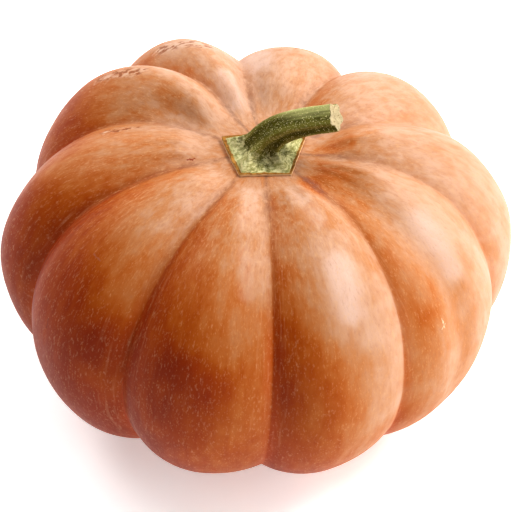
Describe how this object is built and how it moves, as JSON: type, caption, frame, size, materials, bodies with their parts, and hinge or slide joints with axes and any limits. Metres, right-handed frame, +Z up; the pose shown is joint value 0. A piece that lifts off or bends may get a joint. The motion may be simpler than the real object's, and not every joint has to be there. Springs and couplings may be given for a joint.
{
  "type": "pumpkin",
  "caption": "Whole squat pumpkin with deep rounded ribs and a bent, dry-cut green stem on a five-cornered foot, standing on its own flattened underside.",
  "frame": {"origin": "on the floor, under the middle of the fruit", "axes": "+Z up along the fruit's axis, -Y the front of the picture, +X the side the stem bends over to"},
  "size_m": [0.2966, 0.2824, 0.2178],
  "materials": {
    "pumpkin_skin": "smooth waxy skin with a pale bloom, deeper in the grooves",
    "pumpkin_stem": "dull fibrous green stalk, corky at the foot and dry at the cut"
  },
  "bodies": {
    "root": {"pumpkin_fruit": "pumpkin_skin", "pumpkin_stem": "pumpkin_stem"}
  },
  "joints": []
}
